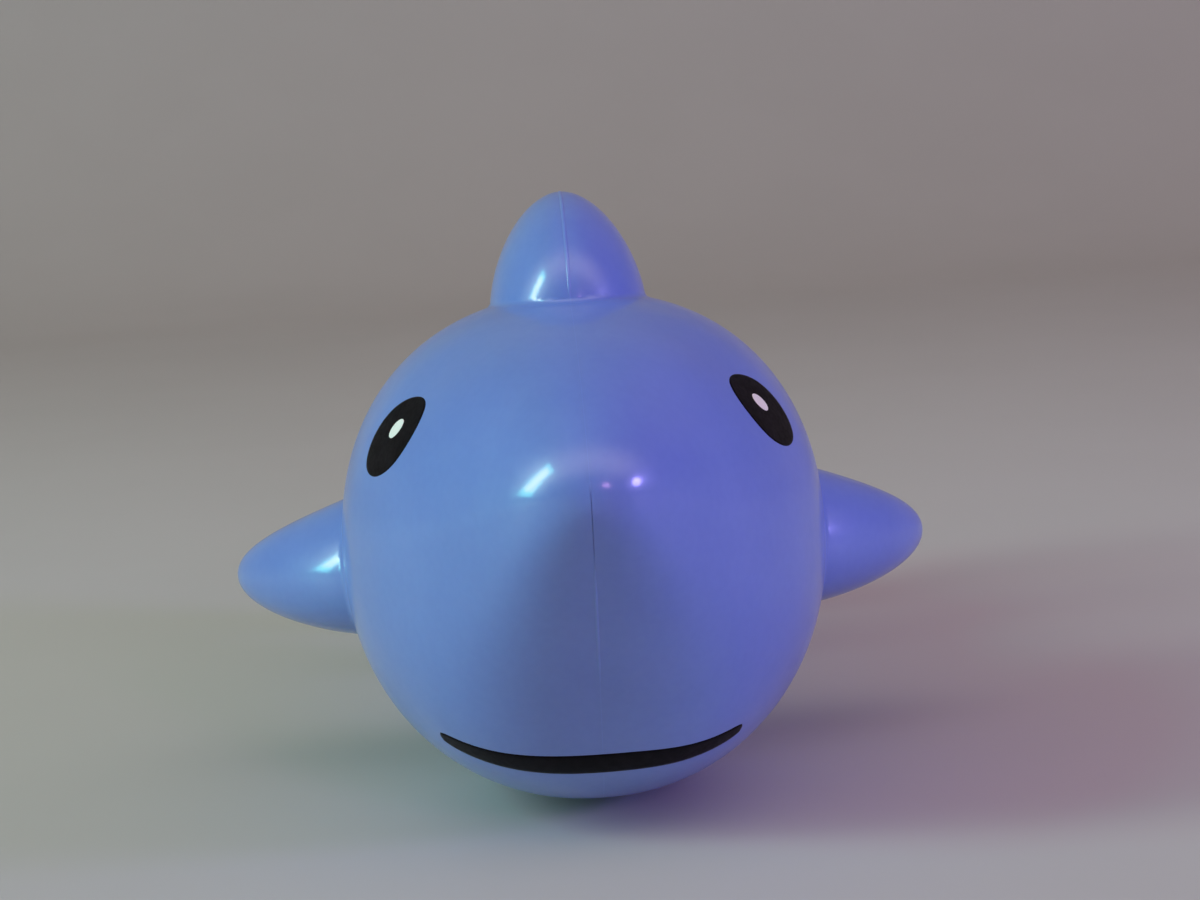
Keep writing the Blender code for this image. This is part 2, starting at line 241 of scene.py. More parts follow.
def head_shell(x, y, z):
    solid = head_solid(x, y, z)
    out = meet(meet(solid, y - HEAD_FACE, 0.9), TABLE - z, 0.5)
    return meet(out, -hollow(solid, HEAD_FACE - y, x, y, z), 0.35)


def tail_shell(x, y, z):
    solid = tail_solid(x, y, z)
    out = meet(meet(solid, TAIL_FACE - y, 0.9), TABLE - z, 0.5)
    return meet(out, -hollow(solid, y - TAIL_FACE, x, y, z), 0.35)


def gradient(f, p, e=0.02):
    x, y, z = p.T
    return np.stack([f(x + e, y, z) - f(x - e, y, z),
                     f(x, y + e, z) - f(x, y - e, z),
                     f(x, y, z + e) - f(x, y, z - e)], 1) / (2 * e)


def settle(f, p, steps=4, flat=None, reach=0.4, e=0.02):
    """Points moved onto f = 0; those in flat keep their x."""
    for _ in range(steps):
        x, y, z = p.T
        v = f(x, y, z)
        g = np.stack([f(x + e, y, z) - v, f(x, y + e, z) - v, f(x, y, z + e) - v], 1) / e
        if flat is not None:
            g[flat, 0] = 0.0
        step = v[:, None] * g / np.maximum((g * g).sum(1), 0.05)[:, None]
        size = np.linalg.norm(step, axis=1, keepdims=True)
        p = p - step * np.minimum(1.0, reach / np.maximum(size, 1e-9))
    return p


# ------------------------------------------------------------- mesh building
def material_of(obj, mat):
    obj.data.materials.clear()
    obj.data.materials.append(mat)


def new_object(name, verts, faces, mat, smooth=True, sharp=None):
    """A mesh piece from points in millimetres with the head's own Y."""
    v = np.asarray(verts, float).copy()
    v[:, 1] += Y_SHIFT
    v[:, 2] -= TABLE
    mesh = bpy.data.meshes.new(name)
    mesh.from_pydata((v * MM).tolist(), [], [list(map(int, f)) for f in faces])
    mesh.validate()
    mesh.update()
    obj = bpy.data.objects.new(name, mesh)
    scene.collection.objects.link(obj)
    material_of(obj, mat)
    if smooth:
        mesh.shade_smooth()
    if sharp is not None:
        mesh.set_sharp_from_angle(angle=math.radians(sharp))
    return obj


def nets(f, low, high, h):
    """A quad mesh of f = 0 between two corners, on cubes of side h."""
    axes = [np.arange(a, b + h, h) for a, b in zip(low, high)]
    grid = np.meshgrid(*axes, indexing="ij")
    shape = grid[0].shape
    val = f(*[c.ravel() for c in grid]).reshape(shape)
    inside = val < 0
    cells = tuple(n - 1 for n in shape)
    total, count = np.zeros(cells + (3,)), np.zeros(cells)
    for axis in range(3):
        others = [k for k in range(3) if k != axis]
        for p in (0, 1):
            for q in (0, 1):
                s0 = [None] * 3
                s0[axis] = slice(0, shape[axis] - 1)
                s0[others[0]] = slice(p, p + cells[others[0]])
                s0[others[1]] = slice(q, q + cells[others[1]])
                s1 = list(s0)
                s1[axis] = slice(1, shape[axis])
                a, b = val[tuple(s0)], val[tuple(s1)]
                cross = (a < 0) != (b < 0)
                t = np.where(cross, a / np.where(cross, a - b, 1.0), 0.0)
                total[..., axis] += t
                total[..., others[0]] += np.where(cross, p, 0)
                total[..., others[1]] += np.where(cross, q, 0)
                count += cross
    used = count > 0
    index = np.full(cells, -1)
    index[used] = np.arange(used.sum())
    ijk = np.argwhere(used)
    verts = (ijk + total[used] / count[used][:, None]) * h + np.array([a[0] for a in axes])
    faces = []
    for axis in range(3):
        o1, o2 = [(1, 2), (2, 0), (0, 1)][axis]
        s = [slice(1, n - 1) for n in shape]
        s[axis] = slice(0, shape[axis] - 1)
        e = list(s)
        e[axis] = slice(1, shape[axis])
        a, b = inside[tuple(s)], inside[tuple(e)]
        for mask, turn in ((a & ~b, 1), (~a & b, -1)):
            at = np.argwhere(mask)
            if not len(at):
                continue
            at = at + np.array([0 if k == axis else 1 for k in range(3)])
            quad = []
            for d1, d2 in ((-1, -1), (0, -1), (0, 0), (-1, 0)):
                c = at.copy()
                c[:, o1] += d1
                c[:, o2] += d2
                quad.append(index[c[:, 0], c[:, 1], c[:, 2]])
            quad = np.stack(quad, 1)
            faces.append(quad if turn > 0 else quad[:, ::-1])
    return verts, np.vstack(faces), ijk


def half_shell(f, low, high, h):
    """The left half of a shell, open at the parting plane, with its points there flattened and marked."""
    low = (HALF_GAP - 2.5 * h,) + tuple(low)
    verts, faces, ijk = nets(f, low, high, h)
    layer = ijk[:, 0]
    flat = layer == 2
    verts[flat, 0] = HALF_GAP
    keep = (layer[faces] >= 2).all(1) & (layer[faces] > 2).any(1)
    faces = faces[keep]
    used = np.unique(faces)
    renum = np.full(len(verts), -1)
    renum[used] = np.arange(len(used))
    verts, faces, flat = verts[used], renum[faces], flat[used]
    # even out the grid, then settle on the surface
    pairs = np.vstack([faces[:, [k, (k + 1) % 4]] for k in range(4)])
    pairs = np.unique(np.sort(pairs, 1), axis=0)
    verts = settle(f, verts, 3, flat)
    for _ in range(3):
        acc, num = np.zeros_like(verts), np.zeros(len(verts))
        for a, b in ((0, 1), (1, 0)):
            np.add.at(acc, pairs[:, a], verts[pairs[:, b]])
            np.add.at(num, pairs[:, a], 1)
        move = 0.5 * (acc / num[:, None] - verts)
        g = gradient(f, verts)
        g /= np.maximum(np.linalg.norm(g, axis=1, keepdims=True), 1e-9)
        move -= g * (move * g).sum(1, keepdims=True)
        move[flat, 0] = 0.0
        verts = settle(f, verts + move, 2, flat, 0.2)
        verts[:, 0] = np.maximum(verts[:, 0], HALF_GAP)
    return verts, faces, flat


PARTS = {}


def shell_objects(name, f, low, high, h, mat):
    """Both halves of a shell as closed meshes with exact shading normals."""
    verts, faces, flat = PARTS[name] = half_shell(f, low, high, h)
    normals = gradient(f, verts)
    normals /= np.maximum(np.linalg.norm(normals, axis=1, keepdims=True), 1e-9)
    made = []
    for side, word in ((1, "left"), (-1, "right")):
        v = verts * np.array([side, 1, 1])
        bm = bmesh.new()
        bv = [bm.verts.new((a * MM, (b + Y_SHIFT) * MM, (c - TABLE) * MM)) for a, b, c in v]
        for q in faces if side > 0 else faces[:, ::-1]:
            try:
                bm.faces.new([bv[k] for k in q])
            except ValueError:
                pass
        open_edges = [e for e in bm.edges if len(e.link_faces) == 1]
        got = bmesh.ops.triangle_fill(bm, use_beauty=True, edges=open_edges,
                                      normal=(-side, 0, 0))
        caps = [x for x in got["geom"] if isinstance(x, bmesh.types.BMFace)]
        for x in caps:
            x.normal_update()
            if x.normal.x * side > 0:
                x.normal_flip()
        mesh = bpy.data.meshes.new(name + "_" + word)
        bm.verts.index_update()
        bm.faces.index_update()
        cap_ids = {x.index for x in caps}
        bad = [e for e in bm.edges if len(e.link_faces) != 2]
        if bad:
            print("OPEN EDGES", name, word, len(bad))
        bm.to_mesh(mesh)
        bm.free()
        obj = bpy.data.objects.new(name + "_" + word, mesh)
        scene.collection.objects.link(obj)
        material_of(obj, mat)
        mesh.shade_smooth()
        n = normals * np.array([side, 1, 1])
        loop_vert = np.empty(len(mesh.loops), np.int32)
        mesh.loops.foreach_get("vertex_index", loop_vert)
        loop_n = n[loop_vert]
        starts = np.empty(len(mesh.polygons), np.int32)
        mesh.polygons.foreach_get("loop_start", starts)
        totals = np.empty(len(mesh.polygons), np.int32)
        mesh.polygons.foreach_get("loop_total", totals)
        for k in cap_ids:
            loop_n[starts[k]:starts[k] + totals[k]] = (-side, 0, 0)
        mesh.normals_split_custom_set(loop_n.tolist())
        made.append(obj)
    return made


def revolve(profile, name, mat, sides=120, seam=0.10):
    """A closed profile of (y, r) turned about the tube's axis.

    Two fine mould lines run along it, at the top and at the bottom.
    """
    turns = list(np.linspace(0, 2 * math.pi, sides, endpoint=False))
    for base in (0.0, math.pi):
        turns += [base + d for d in (-0.022, -0.011, 0.011, 0.022)]
    turns = sorted(t % (2 * math.pi) for t in turns)
    verts, faces = [], []
    n = len(turns)
    for y, r in profile:
        for t in turns:
            d = min(abs(t - b) for b in (0.0, math.pi, 2 * math.pi))
            q = r + seam * max(0.0, 1.0 - (d / 0.022) ** 2)
            verts.append((q * math.sin(t), y, AXIS_Z + q * math.cos(t)))
    m = len(profile)
    for i in range(m):
        j = (i + 1) % m
        for k in range(n):
            l = (k + 1) % n
            faces.append((i * n + k, j * n + k, j * n + l, i * n + l))
    obj = new_object(name, verts, faces, mat, sharp=50)
    bm = bmesh.new()
    bm.from_mesh(obj.data)
    bmesh.ops.recalc_face_normals(bm, faces=bm.faces[:])
    bm.to_mesh(obj.data)
    bm.free()
    return obj


def rounded(points, step=0.35):
    """A polyline through points, smoothed and evenly stepped; it isn't closed."""
    p = np.array(points, float)
    p = np.vstack([2 * p[0] - p[1], p, 2 * p[-1] - p[-2]])
    out = []
    for k in range(1, len(p) - 2):
        a, b, c, d = p[k - 1:k + 3]
        length = np.linalg.norm(c - b)
        count = max(1, int(math.ceil(length / step)))
        for t in np.linspace(0, 1, count, endpoint=False):
            out.append(0.5 * (2 * b + (c - a) * t + (2 * a - 5 * b + 4 * c - d) * t * t
                              + (3 * b - a - 3 * c + d) * t ** 3))
    out.append(p[-2])
    return [tuple(q) for q in out]


# ----------------------------------------------------------------- materials
def nodes_of(name):
    mat = bpy.data.materials.new(name)
    mat.use_nodes = True
    tree = mat.node_tree
    return mat, tree, tree.nodes["Principled BSDF"]


def link(tree, a, b):
    tree.links.new(a, b)


def noise(tree, coord, scale, detail=3.0, rough=0.5):
    n = tree.nodes.new("ShaderNodeTexNoise")
    n.inputs["Scale"].default_value = scale
    n.inputs["Detail"].default_value = detail
    n.inputs["Roughness"].default_value = rough
    link(tree, coord, n.inputs["Vector"])
    return n.outputs["Fac"]


def ramp(tree, fac, stops):
    n = tree.nodes.new("ShaderNodeValToRGB")
    n.color_ramp.interpolation = 'EASE' if len(stops) == 2 else 'B_SPLINE'
    e = n.color_ramp.elements
    while len(e) < len(stops):
        e.new(0.5)
    for k, (pos, col) in enumerate(stops):
        e[k].position = pos
        e[k].color = col if len(col) == 4 else (*col, 1.0)
    link(tree, fac, n.inputs["Fac"])
    return n.outputs["Color"]


def span(tree, fac, low, high, a=0.0, b=1.0):
    n = tree.nodes.new("ShaderNodeMapRange")
    n.interpolation_type = 'SMOOTHSTEP'
    n.inputs["From Min"].default_value = a
    n.inputs["From Max"].default_value = b
    n.inputs["To Min"].default_value = low
    n.inputs["To Max"].default_value = high
    link(tree, fac, n.inputs["Value"])
    return n.outputs["Result"]


def mix(tree, fac, a, b, kind='MIX'):
    n = tree.nodes.new("ShaderNodeMix")
    n.data_type = 'RGBA'
    n.blend_type = kind
    sockets = {s.identifier: s for s in n.inputs}
    for key, value in (("Factor_Float", fac), ("A_Color", a), ("B_Color", b)):
        if isinstance(value, (int, float)):
            sockets[key].default_value = value
        elif isinstance(value, tuple):
            sockets[key].default_value = value if len(value) == 4 else (*value, 1.0)
        else:
            link(tree, value, sockets[key])
    return next(s for s in n.outputs if s.identifier == "Result_Color")


def bump(tree, height, strength, dist, under=None):
    n = tree.nodes.new("ShaderNodeBump")
    n.inputs["Strength"].default_value = strength
    n.inputs["Distance"].default_value = dist
    link(tree, height, n.inputs["Height"])
    if under is not None:
        link(tree, under, n.inputs["Normal"])
    return n.outputs["Normal"]


def object_coord(tree):
    return tree.nodes.new("ShaderNodeTexCoord").outputs["Object"]


def shell_plastic(name, tone=1.0):
    """Glossy moulded plastic, a little waxy, with faint flow mottling."""
    mat, tree, sh = nodes_of(name)
    co = object_coord(tree)
    base = (0.158 * tone, 0.266 * tone, 0.672 * tone)
    deep = (0.146 * tone, 0.248 * tone, 0.646 * tone)
    pale = (0.174 * tone, 0.286 * tone, 0.698 * tone)
    broad = ramp(tree, noise(tree, co, 55.0, 2.0), [(0.30, deep), (0.52, base), (0.75, pale)])
    fine = ramp(tree, noise(tree, co, 900.0, 2.0), [(0.35, (0.47, 0.47, 0.47)), (0.65, (0.53, 0.53, 0.53))])
    colour = mix(tree, 0.35, broad, fine, 'SOFT_LIGHT')
    link(tree, colour, sh.inputs["Base Color"])
    rough = span(tree, noise(tree, co, 140.0, 3.0), 0.29, 0.37, 0.3, 0.7)
    link(tree, rough, sh.inputs["Roughness"])
    peel = bump(tree, noise(tree, co, 420.0, 1.0), 0.10, 0.00005)
    link(tree, bump(tree, noise(tree, co, 2600.0, 1.0), 0.05, 0.00002, peel), sh.inputs["Normal"])
    sh.inputs["IOR"].default_value = 1.49
    sh.inputs["Coat Weight"].default_value = 0.65
    sh.inputs["Coat Roughness"].default_value = 0.12
    sh.inputs["Coat IOR"].default_value = 1.49
    sh.inputs["Subsurface Weight"].default_value = 0.12
    sh.inputs["Subsurface Radius"].default_value = (0.35, 0.55, 1.0)
    sh.inputs["Subsurface Scale"].default_value = 0.0012
    return mat


def ink(name, dark, light, rough, shine=0.5):
    """Pad-printed ink."""
    mat, tree, sh = nodes_of(name)
    co = object_coord(tree)
    colour = ramp(tree, noise(tree, co, 700.0, 4.0), [(0.35, dark), (0.70, light)])
    link(tree, colour, sh.inputs["Base Color"])
    link(tree, span(tree, noise(tree, co, 1500.0, 2.0), rough - 0.05, rough + 0.06, 0.3, 0.7),
         sh.inputs["Roughness"])
    link(tree, bump(tree, noise(tree, co, 1800.0, 2.0), 0.08, 0.00003), sh.inputs["Normal"])
    sh.inputs["Specular IOR Level"].default_value = shine
    return mat


def tube_plastic(name):
    """Thin blow-moulded plastic, paler where the folds stress it."""
    mat, tree, sh = nodes_of(name)
    co = object_coord(tree)
    broad = ramp(tree, noise(tree, co, 80.0, 3.0),
                 [(0.30, (0.128, 0.250, 0.610)), (0.70, (0.158, 0.290, 0.660))])
    fold = tree.nodes.new("ShaderNodeAttribute")
    fold.attribute_name = "fold"
    broken = span(tree, noise(tree, co, 500.0, 3.0), 0.55, 1.0, 0.3, 0.7)
    times = tree.nodes.new("ShaderNodeMath")
    times.operation = 'MULTIPLY'
    link(tree, fold.outputs["Fac"], times.inputs[0])
    link(tree, broken, times.inputs[1])
    colour = mix(tree, times.outputs[0], broad, (0.30, 0.43, 0.76))
    link(tree, colour, sh.inputs["Base Color"])
    link(tree, span(tree, noise(tree, co, 220.0, 3.0), 0.30, 0.42, 0.3, 0.7), sh.inputs["Roughness"])
    link(tree, bump(tree, noise(tree, co, 600.0, 2.0), 0.12, 0.00006), sh.inputs["Normal"])
    sh.inputs["IOR"].default_value = 1.50
    sh.inputs["Subsurface Weight"].default_value = 0.15
    sh.inputs["Subsurface Radius"].default_value = (0.35, 0.55, 1.0)
    sh.inputs["Subsurface Scale"].default_value = 0.0010
    return mat


BLUE = shell_plastic("shell_plastic")
BLUE_FLASH = shell_plastic("shell_flash", 1.08)
BLACK_INK = ink("ink_black", (0.0042, 0.0034, 0.0048), (0.0080, 0.0066, 0.0090), 0.36, 0.05)
WHITE_INK = ink("ink_white", (0.88, 0.86, 0.83), (0.94, 0.92, 0.89), 0.35)
# a white ink warmed toward yellow-green: painted colour that cancels the lilac lamp's tint on the glint
# that faces it
LAMP_TINT_CANCEL_INK = ink("ink_white_lamp_tint_cancel", (0.92, 0.95, 0.76), (0.95, 0.98, 0.80), 0.35)
TUBE = tube_plastic("tube_plastic")

# -------------------------------------------------------------------- shells
VOXEL = 0.62
for obj, node in zip(
        shell_objects("head_visual", head_shell, (-44.6, TABLE - 1.6), (49.5, 27.4, 78.6), VOXEL, BLUE),
        ("head_shell_left", "head_shell_right")):
    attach(obj, "head")
    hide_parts(node)
for obj, node in zip(
        shell_objects("tail_visual", tail_shell, (58.6, TABLE - 1.6), (27.4, 104.6, 69.8), VOXEL, BLUE),
        ("tail_shell_left", "tail_shell_right")):
    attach(obj, "tail")
    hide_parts(node)


# --------------------------------------------------------------- seam flash
def midline(f, part, keep, step=0.4):
    """A shell's outline in the mid-plane, in order and evenly stepped."""
    verts, faces, flat = part
    near = {}
    for k in range(4):
        pair = faces[:, [k, (k + 1) % 4]]
        for i, j in pair[flat[pair].all(1)]:
            near.setdefault(i, set()).add(j)
            near.setdefault(j, set()).add(i)
    good = {i for i in near if keep(verts[i])}
    out_f = np.abs(f(*verts[sorted(near)].T))
    good &= {i for i, v in zip(sorted(near), out_f) if v < 0.05}
    ends = [i for i in good if len(near[i] & good) == 1]
    start = max(ends, key=lambda i: verts[i][2])
    line, seen = [start], {start}
    while True:
        ahead = [j for j in near[line[-1]] & good if j not in seen]
        if not ahead:
            break
        line.append(ahead[0])
        seen.add(ahead[0])
    p = verts[line].copy()
    p[:, 0] = 0.0
    far = np.concatenate([[0], np.cumsum(np.linalg.norm(np.diff(p, axis=0), axis=1))])
    at_far = np.linspace(0, far[-1], int(far[-1] / step))
    p = np.stack([np.interp(at_far, far, p[:, k]) for k in range(3)], 1)
    return settle(f, p, 3, np.ones(len(p), bool))


def head_weld(p):
    """How far the weld line stands proud of the head, along the outline."""
    z = p[2]
    if z > 64.7:                                   # dorsal fin
        return 0.004 + 0.066 * min(1.0, (z - 64.7) / 1.5)
    if z > 47.5:                                   # forehead and snout
        return 0.004
    if z > 38.0:                                   # under the nose, an open joint
        return 0.004 - 0.13 * min(1.0, (47.5 - z) / 2.0) * min(1.0, (z - 38.0) / 2.0)
    if z > 22.0:                                   # front of the chin
        return 0.004 + 0.046 * min(1.0, (38.0 - z) / 3.0, (z - 22.0) / 4.0)
    return 0.004


def flash(name, f, line, body, weld, half=0.30, deep=0.30):
    """A thin weld line along a shell's outline, that weld(p) above the surface."""
    g = gradient(f, line)
    g[:, 0] = 0.0
    g /= np.linalg.norm(g, axis=1, keepdims=True)
    around = 10
    n = len(line)
    fade = np.minimum(1.0, np.minimum(np.arange(n), np.arange(n)[::-1]) / 6.0)
    fade = np.maximum(fade, 0.05)
    verts, faces = [], []
    for k in range(n):
        wave = 0.85 + 0.15 * math.sin(k * 0.37) * math.sin(k * 0.113 + 1.0)
        high = weld(line[k])
        high = high * wave if high > 0 else high
        for a in range(around):
            t = 2 * math.pi * a / around
            up = high + (math.sin(t) - 1.0) * (deep + high) / 2 * fade[k]
            up -= 0.15 * (1.0 - min(1.0, max(0.0, (line[k][2] - TABLE - 0.3) / 1.2)))
            verts.append(line[k] + g[k] * up + np.array([half * math.cos(t) * fade[k], 0, 0]))
    for k in range(n - 1):
        for a in range(around):
            b = (a + 1) % around
            faces.append((k * around + a, k * around + b, (k + 1) * around + b, (k + 1) * around + a))
    faces.append(tuple(range(around))[::-1])
    faces.append(tuple((n - 1) * around + a for a in range(around)))
    obj = new_object(name, verts, faces, BLUE_FLASH)
    bm = bmesh.new()
    bm.from_mesh(obj.data)
    bmesh.ops.recalc_face_normals(bm, faces=bm.faces[:])
    bm.to_mesh(obj.data)
    bm.free()
    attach(obj, body)
    return obj


flash("head_seam", head_outside, midline(head_outside, PARTS["head_visual"], lambda p: p[1] < 25.0), "head",
      head_weld)
flash("tail_seam", tail_outside, midline(tail_outside, PARTS["tail_visual"], lambda p: p[1] > 61.0), "tail",
      lambda p: 0.04)


# -------------------------------------------------------------- printed face
def film(name, grid, mat, top_off, edge, close=True):
    """A thin closed film over the head from a grid of rings of points.

    grid: (rings, around, 3), the first ring in the middle, the last at the rim.
    """
    rings, around = grid.shape[:2]
    flat = grid.reshape(-1, 3)
    flat = settle(head_outside, flat, 6)
    g = gradient(head_outside, flat)
    g /= np.linalg.norm(g, axis=1, keepdims=True)
    lift = np.repeat(np.where(np.arange(rings) < rings - 1, top_off, edge), around)
    upper = flat + g * lift[:, None]
    lower = flat[:-around] - g[:-around] * 0.12
    verts = np.vstack([upper, lower])
    low0 = rings * around
    faces = []
    for k in range(around):
        m = (k + 1) % around
        for r in range(rings - 1):
            faces.append((r * around + k, (r + 1) * around + k, (r + 1) * around + m, r * around + m))
        for r in range(rings - 2):
            faces.append((low0 + r * around + k, low0 + r * around + m,
                          low0 + (r + 1) * around + m, low0 + (r + 1) * around + k))
        r = rings - 2
        faces.append((low0 + r * around + k, low0 + r * around + m,
                      (rings - 1) * around + m, (rings - 1) * around + k))
    faces.append(tuple(range(around)))
    faces.append(tuple(low0 + k for k in range(around))[::-1])
    obj = new_object(name, verts, faces, mat)
    bm = bmesh.new()
    bm.from_mesh(obj.data)
    bmesh.ops.recalc_face_normals(bm, faces=bm.faces[:])
    bm.to_mesh(obj.data)
    bm.free()
    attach(obj, "head")
    return obj


def oval(side, centre, long_half, short_half, lean, rings, around=72, power=2.0):
    """Rings of points over an oval that lies on the head."""
    c = settle(head_outside, np.array([centre]), 12, reach=3.0)[0]
    n = gradient(head_outside, np.array([c]))[0]
    n /= np.linalg.norm(n)
    up = np.array([0.0, 0.0, 1.0])
    up -= n * (up @ n)
    up /= np.linalg.norm(up)
    along = np.cross(n, up)
    if along[1] < 0:
        along = -along
    long_axis = up * math.cos(lean) + along * math.sin(lean)
    short_axis = along * math.cos(lean) - up * math.sin(lean)
    grid = []
    for q in rings:
        ring = []
        for k in range(around):
            t = 2 * math.pi * k / around
            a, b = math.cos(t), math.sin(t)
            s = (abs(a) ** power + abs(b) ** power) ** (-1 / power)
            p = c + long_axis * (long_half * q * a * s) + short_axis * (short_half * q * b * s)
            ring.append(p)
        grid.append(ring)
    grid = np.array(grid) * np.array([side, 1, 1])
    return grid


EYE = (22.5, -12.93, 50.41)
RINGS = (0.06, 0.25, 0.45, 0.65, 0.82, 0.93, 0.985, 1.0)
for side, word in ((1, "left"), (-1, "right")):
    drop, lean = (0.0, -0.84) if side > 0 else (0.28, -0.80)      # the two prints differ a little
    film("eye_" + word, oval(side, (EYE[0], EYE[1], EYE[2] - drop), 6.85, 4.58, lean, RINGS, power=1.86),
         BLACK_INK, 0.06, -0.02)
    # the glint on the +x side faces the lilac lamp and takes the warmed white ink: painted colour that
    # cancels the lamp's tint
    film("glint_" + word, oval(side, (22.0, -13.1, 51.22 - drop), 1.62, 1.02, lean, RINGS, 40),
         WHITE_INK if side < 0 else LAMP_TINT_CANCEL_INK, 0.10, 0.045)


def mouth():
    half, count, rings = 18.65, 121, 9
    s = np.linspace(-1, 1, count)
    x = half * s - 1.1
    z = 9.87 + 2.5 * np.abs(s) ** 3 - 0.62 * s + 0.2 * np.exp(-((s - 0.3) / 0.28) ** 2)
    y = -30.0 + 14 * s * s
    line = np.stack([x, y, z], 1)
    for _ in range(30):        # slide along y onto the chin
        v = head_outside(*line.T)
        gy = (head_outside(line[:, 0], line[:, 1] + 0.02, line[:, 2]) - v) / 0.02
        line[:, 1] -= np.clip(v / np.where(np.abs(gy) < 0.1, -0.1, gy), -1.5, 1.5)
    t = np.gradient(line, axis=0)
    t /= np.linalg.norm(t, axis=1, keepdims=True)
    n = gradient(head_outside, line)
    n /= np.linalg.norm(n, axis=1, keepdims=True)
    b = np.cross(t, n)
    b *= np.sign(b[:, 2:3])
    width = 2.14 * (0.64 + 0.36 * (1 - np.abs(s) ** 2.6))
    width = width * np.maximum(1 - np.abs(s) ** 36, 0) ** 0.5 + 0.05
    across = np.linspace(-1, 1, rings)
    flat = (line[:, None] + b[:, None] * (width[:, None] * across[None])[..., None]).reshape(-1, 3)
    flat = settle(head_outside, flat, 6)
    g = gradient(head_outside, flat)
    g /= np.linalg.norm(g, axis=1, keepdims=True)
    lift = np.full((count, rings), 0.06)
    lift[:, 0] = lift[:, -1] = -0.02
    lift[0] = lift[-1] = -0.02
    upper = flat + g * lift.reshape(-1, 1)
    lower = flat - g * 0.14
    verts = np.vstack([upper, lower])
    m = count * rings
    faces = []
    for i in range(count - 1):
        for j in range(rings - 1):
            a = i * rings + j
            faces.append((a, a + 1, a + rings + 1, a + rings))
            faces.append((m + a, m + a + rings, m + a + rings + 1, m + a + 1))
    rim = [i * rings for i in range(count)]
    rim += [(count - 1) * rings + j for j in range(1, rings)]
    rim += [i * rings + rings - 1 for i in range(count - 2, -1, -1)]
    rim += [j for j in range(rings - 2, 0, -1)]
    for a, c in zip(rim, rim[1:] + rim[:1]):
        faces.append((a, c, m + c, m + a))
    obj = new_object("mouth", verts, faces, BLACK_INK)
    bm = bmesh.new()
    bm.from_mesh(obj.data)
    bmesh.ops.recalc_face_normals(bm, faces=bm.faces[:])
    bm.to_mesh(obj.data)
    bm.free()
    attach(obj, "head")


mouth()

# ---------------------------------------------------------------------- tube
CROWN = [(-0.75, 19.05), (-0.76, 19.55), (-0.64, 20.08), (-0.36, 20.46), (0.0, 20.6),
         (0.36, 20.46), (0.64, 20.08), (0.76, 19.55), (0.86, 19.0), (1.15, 18.45)]
CROWN_INSIDE = [(0.55, 18.45), (0.30, 18.9), (0.22, 19.5), (0.0, 19.95), (-0.2, 19.6), (-0.24, 19.05)]


def cone_r(a):
    return 18.8 + (a - 0.3) * (15.0 - 18.8) / 6.7


def at(points, y):
    return [(y + a, r) for a, r in points]


def mark_folds(obj, folds, wide):
    """How far each point is stressed by a fold, from 0 to 1."""
    co = np.empty(len(obj.data.vertices) * 3, np.float32)
    obj.data.vertices.foreach_get("co", co)
    co = co.reshape(-1, 3) / MM
    y = co[:, 1] - Y_SHIFT
    r = np.hypot(co[:, 0], co[:, 2] + TABLE - AXIS_Z)
    value = np.zeros(len(co))
    for fy, fr in folds:
        value = np.maximum(value, np.exp(-((y - fy) ** 2 + (r - fr) ** 2) / wide ** 2))
    layer = obj.data.attributes.new("fold", 'FLOAT', 'POINT')
    layer.data.foreach_set("value", (0.55 * value).astype(np.float32))


def cone_walls(start):
    """The outside of a cone from start, round its small end, and back inside."""
    out = [(a, cone_r(a)) for a in np.linspace(start, 6.8, 14)]
    end = [(7.02, 14.93), (7.14, 14.74), (7.08, 14.52), (6.86, 14.44)]
    back = [(a, cone_r(a) - 0.64) for a in np.linspace(6.5, max(start - 0.6, 0.3), 10)]
    return out, end, back


SKIN_OUT, SKIN_END, SKIN_BACK = cone_walls(1.6)
for k in range(1, CRESTS):
    crest = CREST_0 + PITCH * k
    profile = rounded(CROWN + SKIN_OUT) + SKIN_END + rounded(SKIN_BACK[:-1] + CROWN_INSIDE)
    obj = revolve(at(profile, crest), "tube_skin_%02d" % k, TUBE)
    mark_folds(obj, [(crest, 20.6), (crest + 7.1, 14.8)], 0.8)
    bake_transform(obj)
    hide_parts("tube_crest_%02d" % k, "tube_cone_%02d" % k)

for k in range(1, CRESTS + 1):
    crest = CREST_0 + PITCH * k
    wall = [(-0.30, 19.45), (-0.30, 19.0), (-0.10, 18.55), (0.35, 17.95), (2.75, 15.28), (3.02, 14.92),
            (3.10, 14.66)]
    inside = [(2.86, 14.50), (2.50, 14.82), (0.0, 17.62), (-0.55, 18.25), (-0.72, 18.75), (-0.62, 19.35)]
    obj = revolve(at(rounded(wall) + rounded(inside), crest), "tube_fold_%02d" % k, TUBE)
    mark_folds(obj, [(crest - 0.4, 19.2), (crest + 3.1, 14.7)], 0.9)
    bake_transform(obj)

flange = HEAD_FACE - 2.0 - 0.3
out, end, back = cone_walls(0.5)
profile = ([(flange - CREST_0 - 1.8, 22.0), (flange - CREST_0 - 0.2, 22.0), (flange - CREST_0, 21.8),
            (flange - CREST_0, 19.2), (flange - CREST_0 + 0.2, 18.86), (-0.4, 18.82), (0.1, 18.8)]
           + out + end + back + [(-0.2, 18.2), (-1.5, 18.2), (flange - CREST_0 - 2.0, 18.2),
                                 (flange - CREST_0 - 2.0, 21.8)])
obj = revolve(at(profile, CREST_0), "tube_front_visual", TUBE)
mark_folds(obj, [(CREST_0 + 7.1, 14.8)], 0.8)
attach(obj, "head")
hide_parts("tube_front_cuff")

